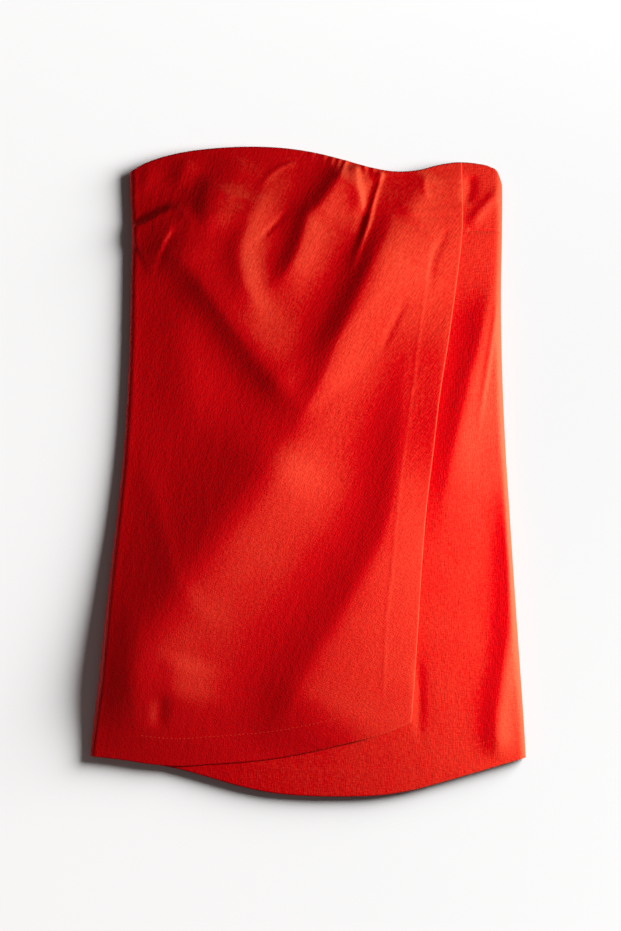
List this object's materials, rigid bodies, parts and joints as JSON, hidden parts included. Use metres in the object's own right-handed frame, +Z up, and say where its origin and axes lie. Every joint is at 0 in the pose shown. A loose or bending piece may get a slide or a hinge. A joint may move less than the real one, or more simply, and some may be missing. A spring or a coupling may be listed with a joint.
{
  "type": "strapless dress",
  "caption": "Short strapless dress in woven cloth with a draped wrap front, gathered at the neckline, laid flat on its back.",
  "frame": {"origin": "on the surface that the dress lies on, under the middle of its box", "axes": "+X to the right as seen from above, +Y from the hem to the neckline, +Z up, out of the front of the dress"},
  "size_m": [0.4693, 0.6987, 0.0292],
  "materials": {
    "drape_cloth": "red-orange linen-type plain weave with fine slubs and a soft satin sheen",
    "under_cloth": "the same plain weave, cut on the straight grain",
    "back_cloth": "the same plain weave",
    "zip_tape": "fine knitted tape, matt",
    "enamel": "red enamel on metal"
  },
  "bodies": {
    "root": {"front_drape": "drape_cloth", "front_under": "under_cloth", "back_left": "back_cloth", "back_right": "back_cloth", "zip_tape": "zip_tape", "zip_slider": "enamel"}
  },
  "joints": []
}
